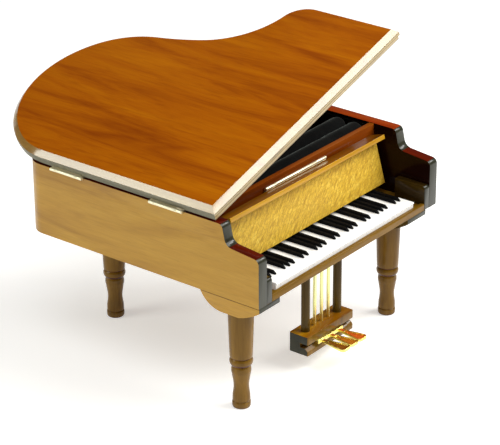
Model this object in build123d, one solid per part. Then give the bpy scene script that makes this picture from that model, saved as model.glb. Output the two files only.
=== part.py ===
from build123d import *
import os
from math import cos, radians, sin

# Miniature grand piano jewellery box.
# Drawing axes: x runs from the bass side to the treble side, y from the fronts of the arms to the
# tail, z up from the table.  Every piece is shifted at the end, so that the part's origin is on the
# table, under the middle of the whole piano at rest.  All lengths are in millimetres.

# ---- case ----
CASE_WIDTH = 200.0
RIM_BOTTOM = 82.0
RIM_TOP = 133.0
RIM_WALL = 8.5
SPINE_END = 183.5          # where the straight bass side starts to turn
TAIL_CORNER_R = 15.0
TAIL_CORNER_TURN = 53.0    # degrees
TAIL_DEPTH = 229.5
ARM_FRONT_TOP = 116.4
ARM_BACK_TOP = 118.2
ARM_NOSE_R = 4.0
BOARD = 3.5                # key bed and bottom board
RAIL_FRONT = 47.1          # front face of the belly rail
RAIL_THICK = 3.9
RAIL_TOP = 132.7

# ---- keyboard ----
WHITE_KEYS = 31
KEY_PITCH = 5.0
KEY_GROOVE = 0.3
KEY_FRONT = 3.0
KEY_BACK = 37.5
WHITE_TOP = 90.5
BLACK_WIDTH = 2.7
BLACK_FRONT = 11.2
BLACK_TOP = 92.7
BLACKS_AFTER = (0, 1, 3, 4, 5)   # white keys of an octave, from C, that a black key follows
CHEEK_THICK = 5.6
CHEEK_TOP = 99.5
CHEEK_DEPTH = 25.0
SLIP_TOP = 86.9

# ---- fallboard: an L of a leaning panel and a lip, hinged on the belly rail ----
FALL_LEAN = 16.0
FALL_PIVOT_Y = 45.85
FALL_PIVOT_Z = 128.2
FALL_GAP = 0.5             # to the cheeks, at each end
FALL_BACK = 0.2            # back faces, in front of the pivot
LIP_DROP = 1.3             # from the pivot to the lip's top
LIP_DEPTH = 11.8
LIP_THICK = 3.2
PANEL_THICK = 3.0
PANEL_DROP = 36.2          # from the pivot to the panel's lower edge
FALL_BARREL_R = 1.1
FALL_HINGE_LENGTH = 66.0

# ---- lid ----
LID_GAP = 0.6              # between the rim and the closed lid
LID_FRONT = 33.5
LID_WIDTH = 210.5
LID_THICK = 9.0
LID_FOOT = 3.0             # height of the set-back lower edge
LID_FOOT_INSET = 0.8
LID_BEVEL = 3.6
LID_OPEN = 17.0            # degrees, at rest
LID_SPINE_END = 180.0
LID_AXIS_X = -1.5
LID_BARREL_R = 1.15
LID_HINGE_LENGTH = 27.5
LID_HINGES_Y = {"front": 73.5, "rear": 158.5}

# ---- hinge hardware ----
LEAF = 0.5
LEAF_WIDTH = 8.0
PIN_R = 0.5
PIN_CLEAR = 0.05
KNUCKLE_GAP = 0.15
SCREW_HEAD_R = 0.85
SCREW_HEAD = 0.2
SCREW_R = 0.45
SCREW_LENGTH = 2.6

# ---- legs and their blocks ----
LEG_Y = 23.0
LEG_X = {"bass": 11.0, "treble": 176.5}
REAR_LEG = (58.0, 172.0)
LEG_SPIGOT_R = 3.5
LEG_SPIGOT = 5.0
BLOCK_WIDTH = 22.0
BLOCK_SET_IN = 0.5         # from the arm's outer face
BLOCK_BOTTOM = 70.6
BLOCK_LENGTH = 48.0
REAR_BLOCK_R = 11.0
REAR_BLOCK = 6.0

# ---- pedal lyre ----
LYRE_X = 100.0
LYRE_Y = 24.0
POST_SPREAD = 18.0
POST_R = 3.0
ROD_PITCH = 7.7
ROD_R = 1.2
BASE_LENGTH = 52.0
BASE_FRONT = 16.0
BASE_BACK = 31.5
BASE_BOTTOM = 11.0
BASE_TOP = 25.0
SLOT_BOTTOM = 16.2
SLOT_TOP = 19.2
SLOT_BACK = 22.5
SOCKET = 3.0               # depth of the post and rod holes
PEDAL_PITCH = 9.4
PEDAL_X = 98.5
PEDAL_TIP = -6.0
PEDAL_THICK = 2.0

# ---- jewellery compartment ----
LINING = 1.0
ROLL_R = 7.0
ROLL_X = (10.0, 190.0)
ROLLS_Y = {"front": 59.3, "rear": 73.7}
TRAY_TOP = 119.2
TRAY_BACK = 82.5
TRAY_BOARD = 2.0


def block(x0, x1, y0, y1, z0, z1):
    """A box between two corners."""
    return Pos((x0 + x1) / 2, (y0 + y1) / 2, (z0 + z1) / 2) * Box(x1 - x0, y1 - y0, z1 - z0)


def rod(x, y, z0, z1, r):
    """An upright cylinder."""
    return Pos(x, y, (z0 + z1) / 2) * Cylinder(r, z1 - z0)


def along_x(x0, x1, y, z, r):
    """A cylinder lying across the piano."""
    return Pos((x0 + x1) / 2, y, z) * Rot(0, 90, 0) * Cylinder(r, x1 - x0)


def along_y(y0, y1, x, z, r):
    """A cylinder lying from front to back."""
    return Pos(x, (y0 + y1) / 2, z) * Rot(90, 0, 0) * Cylinder(r, y1 - y0)


def smooth_run(start, heading, stops):
    """Arcs that follow each other without a corner, through the stops."""
    run = []
    for stop in stops:
        arc = TangentArc(start, stop, tangent=heading)
        run.append(arc)
        start, heading = arc @ 1, arc % 1
    return run


def yz(*points):
    return [(0, y, z) for y, z in points]


# ---- case ----

def case_outline():
    turn = radians(TAIL_CORNER_TURN)
    corner = (TAIL_CORNER_R * (1 - cos(turn)), SPINE_END + TAIL_CORNER_R * sin(turn))
    spine = Line((0, 0), (0, SPINE_END))
    tail = smooth_run((0, SPINE_END), (0, 1), [corner, (64, TAIL_DEPTH), (104, 224), (130, 190)])
    bend = smooth_run(tail[-1] @ 1, tail[-1] % 1, [(143, 155), (172, 124), (CASE_WIDTH, 94)])
    side = Line(bend[-1] @ 1, (CASE_WIDTH, 0))
    front = Line((CASE_WIDTH, 0), (0, 0))
    return make_face([spine, *tail, *bend, side, front])


def inner_face(inset):
    """The case outline drawn in by inset, open at the front."""
    return offset(case_outline(), amount=-inset, kind=Kind.INTERSECTION)


def compartment(inset, z0, z1):
    """The room behind the belly rail, drawn in by inset from the rim's inner face."""
    room = extrude(Pos(0, 0, z0) * inner_face(RIM_WALL + inset), z1 - z0)
    front = RAIL_FRONT + RAIL_THICK + inset
    return room - block(-10, CASE_WIDTH + 10, -10, front, z0 - 1, z1 + 1)


def arm_side_view():
    """Everything below the arms' top edge, the S-step and the rim's top edge."""
    nose = ARM_FRONT_TOP - ARM_NOSE_R
    points = yz((0, nose), (ARM_NOSE_R, ARM_FRONT_TOP), (21.5, ARM_BACK_TOP), (27.0, 123.0),
                (28.4, 129.2), (32.2, RIM_TOP))
    edges = [
        Line((0, 0, RIM_BOTTOM), points[0]),
        TangentArc(points[0], points[1], tangent=(0, 0, 1)),
        Line(points[1], points[2]),
        TangentArc(points[2], points[3], tangent=(0, 1, 0.1)),
        Line(points[3], points[4]),
        TangentArc(points[5], points[4], tangent=(0, -1, 0)),
        Polyline(*yz((32.2, RIM_TOP), (300, RIM_TOP), (300, RIM_BOTTOM), (0, RIM_BOTTOM))),
    ]
    return Pos(-10, 0, 0) * extrude(make_face(edges), CASE_WIDTH + 20, dir=(1, 0, 0))


def rim():
    outer = extrude(Pos(0, 0, RIM_BOTTOM) * case_outline(), RIM_TOP - RIM_BOTTOM)
    inner = extrude(Pos(0, 0, RIM_BOTTOM) * inner_face(RIM_WALL), RIM_TOP - RIM_BOTTOM)
    mouth = block(RIM_WALL, CASE_WIDTH - RIM_WALL, -1, RIM_WALL + 1, RIM_BOTTOM, RIM_TOP)
    return (outer - inner - mouth) & arm_side_view()


def key_bed():
    left = RIM_WALL + CHEEK_THICK
    top = RIM_BOTTOM + BOARD
    narrow = block(left, CASE_WIDTH - left, KEY_FRONT, CHEEK_DEPTH, RIM_BOTTOM, top)
    wide = block(RIM_WALL, CASE_WIDTH - RIM_WALL, CHEEK_DEPTH, RAIL_FRONT, RIM_BOTTOM, top)
    return narrow + wide


def cheek(x0):
    piece = block(x0, x0 + CHEEK_THICK, 0, CHEEK_DEPTH, RIM_BOTTOM, CHEEK_TOP)
    nose = piece.edges().filter_by(Axis.X).group_by(Axis.Z)[-1].sort_by(Axis.Y)[0]
    return fillet(nose, 2.5)


def key_slip():
    left = RIM_WALL + CHEEK_THICK
    piece = block(left, CASE_WIDTH - left, 0, KEY_FRONT, RIM_BOTTOM, SLIP_TOP)
    nose = piece.edges().filter_by(Axis.X).group_by(Axis.Z)[-1].sort_by(Axis.Y)[0]
    return fillet(nose, 0.9)


def belly_rail():
    return block(RIM_WALL, CASE_WIDTH - RIM_WALL, RAIL_FRONT, RAIL_FRONT + RAIL_THICK,
                 RIM_BOTTOM, RAIL_TOP)


def fallboard_rests():
    """Two blocks on the key bed that the leaning panel's back comes to rest on."""
    first = block(22, 32, 38.3, RAIL_FRONT, RIM_BOTTOM + BOARD, 101.8)
    second = block(CASE_WIDTH - 32, CASE_WIDTH - 22, 38.3, RAIL_FRONT, RIM_BOTTOM + BOARD, 101.8)
    return Compound(children=[first, second])


# ---- keyboard ----

def keyboard_left():
    return (CASE_WIDTH - WHITE_KEYS * KEY_PITCH) / 2


def white_keys():
    """One moulding: the gaps between the keys are grooves in its top and front."""
    left = keyboard_left()
    bottom = RIM_BOTTOM + BOARD
    strip = block(left, left + WHITE_KEYS * KEY_PITCH, KEY_FRONT, KEY_BACK, bottom, WHITE_TOP)
    nose = strip.edges().filter_by(Axis.X).group_by(Axis.Z)[-1].sort_by(Axis.Y)[0]
    strip = fillet(nose, 0.7)
    grooves = []
    for gap in range(1, WHITE_KEYS):
        x = left + gap * KEY_PITCH
        half = KEY_GROOVE / 2
        grooves.append(block(x - half, x + half, KEY_FRONT - 1, KEY_BACK + 1, WHITE_TOP - 0.8, WHITE_TOP + 1))
        grooves.append(block(x - half, x + half, KEY_FRONT - 1, KEY_FRONT + 0.6, bottom + 1, WHITE_TOP))
    return strip - grooves


def black_key():
    """A sharp with a sloping, narrowed tip, standing on the plane z = 0 with its front at y = 0."""
    height = BLACK_TOP - WHITE_TOP
    length = KEY_BACK - BLACK_FRONT
    side = Polyline(*yz((0, 0), (0, 0.6), (2.4, height), (length, height), (length, 0)), close=True)
    key = Pos(-BLACK_WIDTH / 2, 0, 0) * extrude(make_face(side), BLACK_WIDTH, dir=(1, 0, 0))
    front_corners = key.edges().filter_by(Axis.Z).group_by(Axis.Y)[0]
    key = chamfer(front_corners, 0.55)
    return chamfer(key.edges().filter_by(Axis.Y).group_by(Axis.Z)[-1], 0.35)


def black_keys():
    sharp = black_key()
    keys = []
    for white in range(WHITE_KEYS - 1):
        if white % 7 in BLACKS_AFTER:
            x = keyboard_left() + (white + 1) * KEY_PITCH
            keys.append(Pos(x, BLACK_FRONT, WHITE_TOP) * sharp)
    return Compound(children=keys)


# ---- hinges ----

def screws(places, into):
    """Small raised-head screws; places are the points under their heads, into the way they point."""
    heading = Vector(into)
    group = []
    for place in places:
        plane = Plane(origin=place, z_dir=heading)
        shank = plane * Pos(0, 0, SCREW_LENGTH / 2) * Cylinder(SCREW_R, SCREW_LENGTH)
        head = plane * Pos(0, 0, -SCREW_HEAD / 2) * Cylinder(SCREW_HEAD_R, SCREW_HEAD)
        group.append(shank + head)
    return group


def lid_hinge_spans(y):
    """The three knuckles' ends along y, at one hinge: two short ones outside, a long one between."""
    start = y - LID_HINGE_LENGTH / 2
    sixth = LID_HINGE_LENGTH / 6
    gap = KNUCKLE_GAP
    return [(start, start + sixth), (start + sixth + gap, start + 5 * sixth - gap),
            (start + 5 * sixth, start + LID_HINGE_LENGTH)]


def lid_axis_z():
    return RIM_TOP + LID_GAP / 2


def lid_leaf(y, spans, others, z0, hole_r):
    """One leaf with the knuckles on spans; it is cut away round the knuckles on others."""
    leaf = block(LID_AXIS_X, LEAF_WIDTH, y - LID_HINGE_LENGTH / 2, y + LID_HINGE_LENGTH / 2, z0, z0 + LEAF)
    for y0, y1 in others:
        leaf -= along_y(y0 - KNUCKLE_GAP, y1 + KNUCKLE_GAP, LID_AXIS_X, lid_axis_z(),
                        LID_BARREL_R + KNUCKLE_GAP)
    for y0, y1 in spans:
        leaf += along_y(y0, y1, LID_AXIS_X, lid_axis_z(), LID_BARREL_R)
    return leaf - along_y(y - 50, y + 50, LID_AXIS_X, lid_axis_z(), hole_r)


def lid_screw_places(z):
    places = []
    for y in LID_HINGES_Y.values():
        for step in (-0.36, 0, 0.36):
            places.append((4.6, y + step * LID_HINGE_LENGTH, z))
    return places


def fall_spans():
    start = CASE_WIDTH / 2 - FALL_HINGE_LENGTH / 2
    sixth = FALL_HINGE_LENGTH / 6
    gap = KNUCKLE_GAP
    return [(start, start + sixth), (start + sixth + gap, start + 5 * sixth - gap),
            (start + 5 * sixth, start + FALL_HINGE_LENGTH)]


def fall_leaf(plate, spans, others, y, z, hole_r):
    """A fallboard hinge leaf: a plate with knuckles round the line (y, z)."""
    for x0, x1 in others:
        plate -= along_x(x0 - KNUCKLE_GAP, x1 + KNUCKLE_GAP, y, z, FALL_BARREL_R + KNUCKLE_GAP)
    for x0, x1 in spans:
        plate += along_x(x0, x1, y, z, FALL_BARREL_R)
    return plate - along_x(0, CASE_WIDTH, y, z, hole_r)


def lean(piece):
    """Turn a fallboard piece, drawn upright round the pivot at (0, 0), to where it rests."""
    return Pos(0, FALL_PIVOT_Y, FALL_PIVOT_Z) * Rot(-FALL_LEAN, 0, 0) * piece


def fallboard():
    """The fallboard's pieces, drawn upright with the pivot on the x axis, then leaned."""
    x0 = RIM_WALL + CHEEK_THICK + FALL_GAP
    x1 = CASE_WIDTH - x0
    back = -FALL_BACK
    lip_top = -LIP_DROP
    lip_bottom = lip_top - LIP_THICK
    lip = block(x0, x1, -LIP_DEPTH, back, lip_bottom, lip_top)
    panel = block(x0, x1, back - PANEL_THICK, back, -PANEL_DROP, lip_bottom)
    first, middle, last = fall_spans()
    plate = block(first[0], last[1], back, back + LEAF, -LEAF_WIDTH, 0)
    leaf = fall_leaf(plate, [middle], [first, last], 0, 0, PIN_R + PIN_CLEAR)
    places = [(first[0] + step * FALL_HINGE_LENGTH, back + LEAF, -6.4) for step in (0.08, 0.36, 0.64, 0.92)]
    fixings = screws(places, (0, -1, 0))
    bite = Compound(children=fixings)
    return {
        "fallboard_lip": lean(lip),
        "fallboard_panel": lean(panel - bite),
        "fallboard_hinge_leaf_moving": lean(leaf - bite),
        "fallboard_hinge_screws_moving": lean(Compound(children=fixings)),
    }


def fall_fixed_side(rail):
    """The fallboard hinge's fixed leaf, its pin and screws, and the belly rail they bite into."""
    first, middle, last = fall_spans()
    plate = block(first[0], last[1], RAIL_FRONT - LEAF, RAIL_FRONT, FALL_PIVOT_Z - LEAF_WIDTH, FALL_PIVOT_Z)
    leaf = fall_leaf(plate, [first, last], [middle], FALL_PIVOT_Y, FALL_PIVOT_Z, PIN_R)
    pin = along_x(first[0], last[1], FALL_PIVOT_Y, FALL_PIVOT_Z, PIN_R)
    places = [(first[0] + step * FALL_HINGE_LENGTH, RAIL_FRONT - LEAF, FALL_PIVOT_Z - 6.4)
              for step in (0.08, 0.36, 0.64, 0.92)]
    fixings = screws(places, (0, 1, 0))
    bite = Compound(children=fixings)
    return {
        "belly_rail": rail - bite,
        "fallboard_hinge_leaf_fixed": leaf - bite,
        "fallboard_hinge_pin": pin,
        "fallboard_hinge_screws_fixed": Compound(children=fixings),
    }


# ---- lid ----

def lid_outline():
    spine = Line((0, LID_FRONT), (0, LID_SPINE_END))
    tail = smooth_run((0, LID_SPINE_END), (0, 1), [(6.7, 205.6), (116.7, 228.3), (141.2, 188.9)])
    bend = smooth_run(tail[-1] @ 1, tail[-1] % 1, [(150.2, 157.3), (193.4, 120.7), (LID_WIDTH, 99.9)])
    side = Line(bend[-1] @ 1, (LID_WIDTH, LID_FRONT))
    front = Line((LID_WIDTH, LID_FRONT), (0, LID_FRONT))
    return make_face([spine, *tail, *bend, side, front])


def lid_board():
    """The lid as it lies closed: a set-back lower edge under a bevelled board."""
    z0 = RIM_TOP + LID_GAP
    foot_outline = offset(lid_outline(), amount=-LID_FOOT_INSET, kind=Kind.INTERSECTION)
    foot = extrude(Pos(0, 0, z0) * foot_outline, LID_FOOT)
    board = extrude(Pos(0, 0, z0 + LID_FOOT) * lid_outline(), LID_THICK - LID_FOOT)
    board = chamfer(board.faces().sort_by(Axis.Z)[-1].outer_wire().edges(), LID_BEVEL)
    return foot + board


def swing(piece):
    """Open a lid piece from its closed place to where it rests."""
    axis = Pos(LID_AXIS_X, 0, lid_axis_z())
    return axis * Rot(0, -LID_OPEN, 0) * axis.inverse() * piece


def lid_and_hinges(case_rim):
    """The lid with its half of the hinges, and the rim with the other half."""
    lid = lid_board()
    pieces = {}
    for name, y in LID_HINGES_Y.items():
        first, middle, last = lid_hinge_spans(y)
        y0, y1 = y - LID_HINGE_LENGTH / 2, y + LID_HINGE_LENGTH / 2
        fixed = lid_leaf(y, [first, last], [middle], RIM_TOP - LEAF, PIN_R)
        moving = lid_leaf(y, [middle], [first, last], RIM_TOP + LID_GAP, PIN_R + PIN_CLEAR)
        case_rim -= block(-1, LEAF_WIDTH, y0, y1, RIM_TOP - LEAF, RIM_TOP + 1)
        lid -= block(-1, LEAF_WIDTH, y0, y1, RIM_TOP, RIM_TOP + LID_GAP + LEAF)
        pieces["lid_hinge_leaf_case_" + name] = fixed
        pieces["lid_hinge_leaf_lid_" + name] = moving
        pieces["lid_hinge_pin_" + name] = along_y(y0, y1, LID_AXIS_X, lid_axis_z(), PIN_R)
    case_screws = screws(lid_screw_places(RIM_TOP), (0, 0, -1))
    lid_screws = screws(lid_screw_places(RIM_TOP + LID_GAP), (0, 0, 1))
    case_bite = Compound(children=case_screws)
    lid_bite = Compound(children=lid_screws)
    for name in LID_HINGES_Y:
        pieces["lid_hinge_leaf_case_" + name] -= case_bite
        pieces["lid_hinge_leaf_lid_" + name] -= lid_bite
    pieces["rim"] = case_rim - case_bite
    pieces["lid_board"] = lid - lid_bite
    pieces["lid_hinge_screws_case"] = Compound(children=case_screws)
    pieces["lid_hinge_screws_lid"] = Compound(children=lid_screws)
    for name in [key for key in pieces if key.startswith("lid_hinge_leaf_lid")]:
        pieces[name] = swing(pieces[name])
    pieces["lid_hinge_screws_lid"] = swing(pieces["lid_hinge_screws_lid"])
    pieces["lid_board"] = swing(pieces["lid_board"])
    return pieces


def lid_bumpers():
    """Felt dots on the rim that the lid comes down on."""
    spots = [(193.3, 100.0), (138.6, 155.0), (64, TAIL_DEPTH - RIM_WALL / 2)]
    return Compound(children=[rod(x, y, RIM_TOP, RIM_TOP + 0.5, 2.5) for x, y in spots])


# ---- legs ----

def leg(x, y, top):
    """A turned leg with a spigot above it."""
    neck = Spline((5.85, 9.3), (5.2, 18.5), (6.2, 24.6), tangents=((-0.02, 1), (0.25, 1)))
    outline = [
        Polyline((0, 0), (5.3, 0), (6.1, 0.8), (6.15, 4.1), (5.55, 4.8), (6.0, 5.5), (5.85, 9.3)),
        neck,
        ThreePointArc((6.2, 24.6), (6.65, 27.6), (6.0, 30.6)),
        ThreePointArc((6.0, 30.6), (7.8, 33.8), (6.9, 36.6)),
        Polyline((6.9, 36.6), (7.6, 37.4), (8.6, 69.0), (8.6, top), (LEG_SPIGOT_R, top),
                 (LEG_SPIGOT_R, top + LEG_SPIGOT), (0, top + LEG_SPIGOT), (0, 0)),
    ]
    face = make_face([Plane.XZ * edge for edge in outline])
    return Pos(x, y, 0) * revolve(face, Axis.Z)


def socket(x, y, z0):
    return rod(x, y, z0, z0 + LEG_SPIGOT + 0.2, LEG_SPIGOT_R + 0.03)


def leg_block(x):
    """An ogee block under an arm, with the leg's hole."""
    flat_front, flat_back = 17.0, 31.0
    nose = 78.5
    edges = [
        Line(*yz((0, RIM_BOTTOM), (0, nose))),
        ThreePointArc(*yz((0, nose), (8.5, 73.6), (flat_front, BLOCK_BOTTOM))),
        Line(*yz((flat_front, BLOCK_BOTTOM), (flat_back, BLOCK_BOTTOM))),
        ThreePointArc(*yz((flat_back, BLOCK_BOTTOM), (41.5, 74.2), (BLOCK_LENGTH, RIM_BOTTOM))),
        Line(*yz((BLOCK_LENGTH, RIM_BOTTOM), (0, RIM_BOTTOM))),
    ]
    width = BLOCK_WIDTH - BLOCK_SET_IN
    body = Pos(x - BLOCK_WIDTH / 2 + BLOCK_SET_IN, 0, 0) * extrude(make_face(edges), width, dir=(1, 0, 0))
    return body - socket(x, LEG_Y, BLOCK_BOTTOM)


def rear_leg_block():
    x, y = REAR_LEG
    plate = rod(x, y, RIM_BOTTOM - REAR_BLOCK, RIM_BOTTOM, REAR_BLOCK_R)
    plate = fillet(plate.edges().group_by(Axis.Z)[0], 1.2)
    return plate - socket(x, y, RIM_BOTTOM - REAR_BLOCK)


# ---- pedal lyre ----

def rod_places():
    return [LYRE_X + step * ROD_PITCH for step in (-1, 0, 1)]


def lyre_post(side):
    return rod(LYRE_X + side * POST_SPREAD, LYRE_Y, BASE_TOP - SOCKET, RIM_BOTTOM, POST_R)


def lyre_rods():
    return Compound(children=[rod(x, LYRE_Y, BASE_TOP - SOCKET, RIM_BOTTOM, ROD_R) for x in rod_places()])


def lyre_base():
    x0, x1 = LYRE_X - BASE_LENGTH / 2, LYRE_X + BASE_LENGTH / 2
    body = block(x0, x1, BASE_FRONT, BASE_BACK, BASE_BOTTOM, BASE_TOP)
    body = fillet(body.edges().filter_by(Axis.Z), 0.9)
    slot = block(x0 - 1, x1 + 1, BASE_FRONT - 1, SLOT_BACK, SLOT_BOTTOM, SLOT_TOP)
    slope = Polyline(*yz((BASE_FRONT - 1, SLOT_BOTTOM + 0.1), (BASE_FRONT + 2.6, SLOT_BOTTOM + 0.1),
                         (BASE_FRONT - 1, SLOT_BOTTOM - 3.2)), close=True)
    ease = Pos(x0 - 1, 0, 0) * extrude(make_face(slope), BASE_LENGTH + 2, dir=(1, 0, 0))
    body = body - slot - ease
    for side in (-1, 1):
        body -= rod(LYRE_X + side * POST_SPREAD, LYRE_Y, BASE_TOP - SOCKET, BASE_TOP + 1, POST_R)
    for x in rod_places():
        body -= rod(x, LYRE_Y, BASE_TOP - SOCKET, BASE_TOP + 1, ROD_R)
    return body


def pedal_shape(inset):
    """A pedal's plan: a narrow shank that flares into a rounded blade, drawn in by inset."""
    wide = 4.25 - inset
    shank = 1.5
    tip = PEDAL_TIP + inset
    right = [
        Line((0, tip), (wide * 0.45, tip)),
        TangentArc((wide * 0.45, tip), (wide, tip + 3.4), tangent=(1, 0)),
        Spline((wide, tip + 3.4), (3.0 - inset, tip + 10), (shank, BASE_FRONT - 1 - inset * 5),
               tangents=((-0.1, 1), (0, 1))),
        Line((shank, BASE_FRONT - 1 - inset * 5), (0, BASE_FRONT - 1 - inset * 5)),
    ]
    left = [mirror(edge, Plane.YZ) for edge in right]
    return make_face(right + left)


def pedals():
    """Three blades with dished tops on one bar, cast in one piece and set in the base's slot."""
    low = SLOT_BOTTOM + 0.2
    bar_half = PEDAL_PITCH + 4.5
    bar = block(PEDAL_X - bar_half, PEDAL_X + bar_half, BASE_FRONT - 1.2, SLOT_BACK, low, SLOT_TOP - 0.2)
    blade = extrude(Pos(0, 0, low) * pedal_shape(0), PEDAL_THICK)
    dish = extrude(Pos(0, 0, low + PEDAL_THICK - 0.8) * pedal_shape(0.9), 2)
    blade = blade - dish
    casting = bar
    for step in (-1, 0, 1):
        casting += Pos(PEDAL_X + step * PEDAL_PITCH, 0, 0) * blade
    return casting


# ---- jewellery compartment ----

def lining_wall():
    low = RIM_BOTTOM + BOARD + LINING
    return compartment(0, low, RIM_TOP - 2) - compartment(LINING, low - 1, RIM_TOP)


def ring_tray():
    """A shelf across the front of the compartment, on a riser, that carries the ring rolls."""
    front = RAIL_FRONT + RAIL_THICK + LINING
    inside = compartment(LINING, RIM_BOTTOM + BOARD + LINING, TRAY_TOP)
    shelf = block(0, CASE_WIDTH, front, TRAY_BACK, TRAY_TOP - TRAY_BOARD, TRAY_TOP)
    riser = block(0, CASE_WIDTH, TRAY_BACK - TRAY_BOARD, TRAY_BACK, RIM_BOTTOM, TRAY_TOP)
    return inside & (shelf + riser)


def ring_roll(y):
    x0, x1 = ROLL_X
    body = along_x(x0, x1, y, TRAY_TOP + ROLL_R, ROLL_R)
    return fillet(body.edges(), ROLL_R * 0.6)


def all_pieces():
    pieces = {
        "key_bed": key_bed(),
        "key_slip": key_slip(),
        "cheek_bass": cheek(RIM_WALL),
        "cheek_treble": cheek(CASE_WIDTH - RIM_WALL - CHEEK_THICK),
        "fallboard_rests": fallboard_rests(),
        "white_keys": white_keys(),
        "black_keys": black_keys(),
        "bottom_board": compartment(0, RIM_BOTTOM, RIM_BOTTOM + BOARD),
        "lining_floor": compartment(0, RIM_BOTTOM + BOARD, RIM_BOTTOM + BOARD + LINING),
        "lining_wall": lining_wall(),
        "ring_tray": ring_tray(),
        "lid_bumpers": lid_bumpers(),
        "leg_block_rear": rear_leg_block(),
        "leg_rear": leg(*REAR_LEG, RIM_BOTTOM - REAR_BLOCK),
        "lyre_post_bass": lyre_post(-1),
        "lyre_post_treble": lyre_post(1),
        "lyre_rods": lyre_rods(),
        "lyre_base": lyre_base(),
        "pedals": pedals(),
    }
    for name, y in ROLLS_Y.items():
        pieces["ring_roll_" + name] = ring_roll(y)
    for name, x in LEG_X.items():
        pieces["leg_block_" + name] = leg_block(x)
        pieces["leg_front_" + name] = leg(x, LEG_Y, BLOCK_BOTTOM)
    pieces.update(fallboard())
    pieces.update(fall_fixed_side(belly_rail()))
    pieces.update(lid_and_hinges(rim()))
    return pieces


def main():
    os.makedirs("parts", exist_ok=True)
    pieces = all_pieces()
    whole = Compound(children=[piece.moved(Location()) for piece in pieces.values()]).bounding_box()
    shift = Pos(-(whole.min.X + whole.max.X) / 2, -(whole.min.Y + whole.max.Y) / 2, 0)
    for name, piece in pieces.items():
        export_step(shift * piece, "parts/" + name + ".step")
    print("origin in drawing axes", round(-shift.position.X, 3), round(-shift.position.Y, 3))
    print("whole size", whole.size)


main()
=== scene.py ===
from math import cos, pi, radians, sin, tau

import bmesh
import bpy
from mathutils import Matrix, Vector, noise


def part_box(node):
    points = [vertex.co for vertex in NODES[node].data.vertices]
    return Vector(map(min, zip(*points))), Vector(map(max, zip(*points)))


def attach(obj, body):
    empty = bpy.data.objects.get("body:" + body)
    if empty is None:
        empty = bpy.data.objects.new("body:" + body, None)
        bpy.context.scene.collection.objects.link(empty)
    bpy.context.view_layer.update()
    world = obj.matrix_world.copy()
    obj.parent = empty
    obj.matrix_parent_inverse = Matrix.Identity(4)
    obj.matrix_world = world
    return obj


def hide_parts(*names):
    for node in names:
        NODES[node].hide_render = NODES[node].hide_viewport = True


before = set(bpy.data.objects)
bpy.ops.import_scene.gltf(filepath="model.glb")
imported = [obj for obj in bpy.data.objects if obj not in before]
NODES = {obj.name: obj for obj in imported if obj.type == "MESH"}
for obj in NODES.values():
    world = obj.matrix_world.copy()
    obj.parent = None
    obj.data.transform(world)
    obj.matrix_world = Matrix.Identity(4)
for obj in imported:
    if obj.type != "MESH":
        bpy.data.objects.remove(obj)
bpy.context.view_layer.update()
SCENE = bpy.context.scene

MM = 0.001
UP = Vector((0, 0, 1))

LID_TILT = radians(17.0)          # the lid's rest angle
LID_BEVEL = 3.6 * MM
FALL_LEAN = radians(16.0)         # the fallboard's rest angle
ARM_ZONE = 40 * MM                # from the arms' fronts to behind the S-steps
KEY_WELL = 60 * MM                # from the arms' fronts to behind the belly rail
SPINE_WALL = 9 * MM               # just over the rim's thickness
WALL_SKIN = 6 * MM                # less than the rim's thickness
ARM_DROP = 6 * MM                 # upward faces this far below the rim's top are the arms'
BLOCK_SEAM = 0.8 * MM             # the dark joint between an arm and its block: a glue line with painted shadow of the step
WHITE_KEYS = 31
KEY_PITCH = 5.0 * MM
HALF_GROOVE = 0.06                # half the groove between white keys, in millimetres
PEDAL_PITCH = 9.4 * MM
DISH_LENGTH = 18 * MM             # the part of a pedal painted with a reflection, from its tip
SPIGOT_LENGTH = 5.0               # the legs' spigots, in millimetres like the profiles
SCREW_HEAD = 0.2                  # the screws' heads, in millimetres too

# widths of the eased edges, in millimetres
RIM_EASE = 0.45
BLOCK_EASE = 0.4
LID_EASE = 0.4
WOOD_EASE = 0.35
BOARD_EASE = 0.3
HIDDEN_EASE = 0.2
PEDAL_EASE = 0.22
BRASS_EASE = 0.12
FINE_EASE = 0.15

# velvet
LINING_EASE = 0.4
NAP_RISE = 0.15 * MM              # unevenness of the glued linings
SIM_SCALE = 10.0                  # the rolls' covers are simulated at this many times their size
COVER_FRAMES = 14
ROLL_INSET = 0.985                # share of the CAD roll's radius that a cover may reach

# the camera, from the floor under the case's front bass corner
CAMERA_PLACE = Vector((-1.01481, -0.78579, 0.74969))
CAMERA_TARGET = Vector((0.10635, 0.08963, 0.07709))
CAMERA_ROLL = radians(-0.307)
LENS, SENSOR = 165.6, 36.0
LAMP_TARGET = Vector((0, 0, 0.08))    # what the softboxes point at


# ---------------------------------------------------------------- materials

def material(name):
    """A material with an empty Principled shader; gives (material, tree, shader)."""
    made = bpy.data.materials.new(name)
    made.use_nodes = True
    tree = made.node_tree
    shader = tree.nodes["Principled BSDF"]
    return made, tree, shader


def add(tree, kind, inputs=None, **settings):
    """A node with its settings; an input given as a socket is linked, any other value is set."""
    node = tree.nodes.new(kind)
    for key, value in settings.items():
        setattr(node, key, value)
    for key, value in (inputs or {}).items():
        put(tree, node, key, value)
    return node


def put(tree, node, key, value):
    if isinstance(value, bpy.types.NodeSocket):
        tree.links.new(value, node.inputs[key])
    else:
        node.inputs[key].default_value = value


def place(tree, scale=(1, 1, 1), turn=(0, 0, 0)):
    """Object coordinates, turned and stretched."""
    spot = add(tree, "ShaderNodeTexCoord").outputs["Object"]
    turned = add(tree, "ShaderNodeMapping", {"Vector": spot, "Rotation": turn})
    return add(tree, "ShaderNodeMapping", {"Vector": turned.outputs[0], "Scale": scale}).outputs[0]


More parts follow.
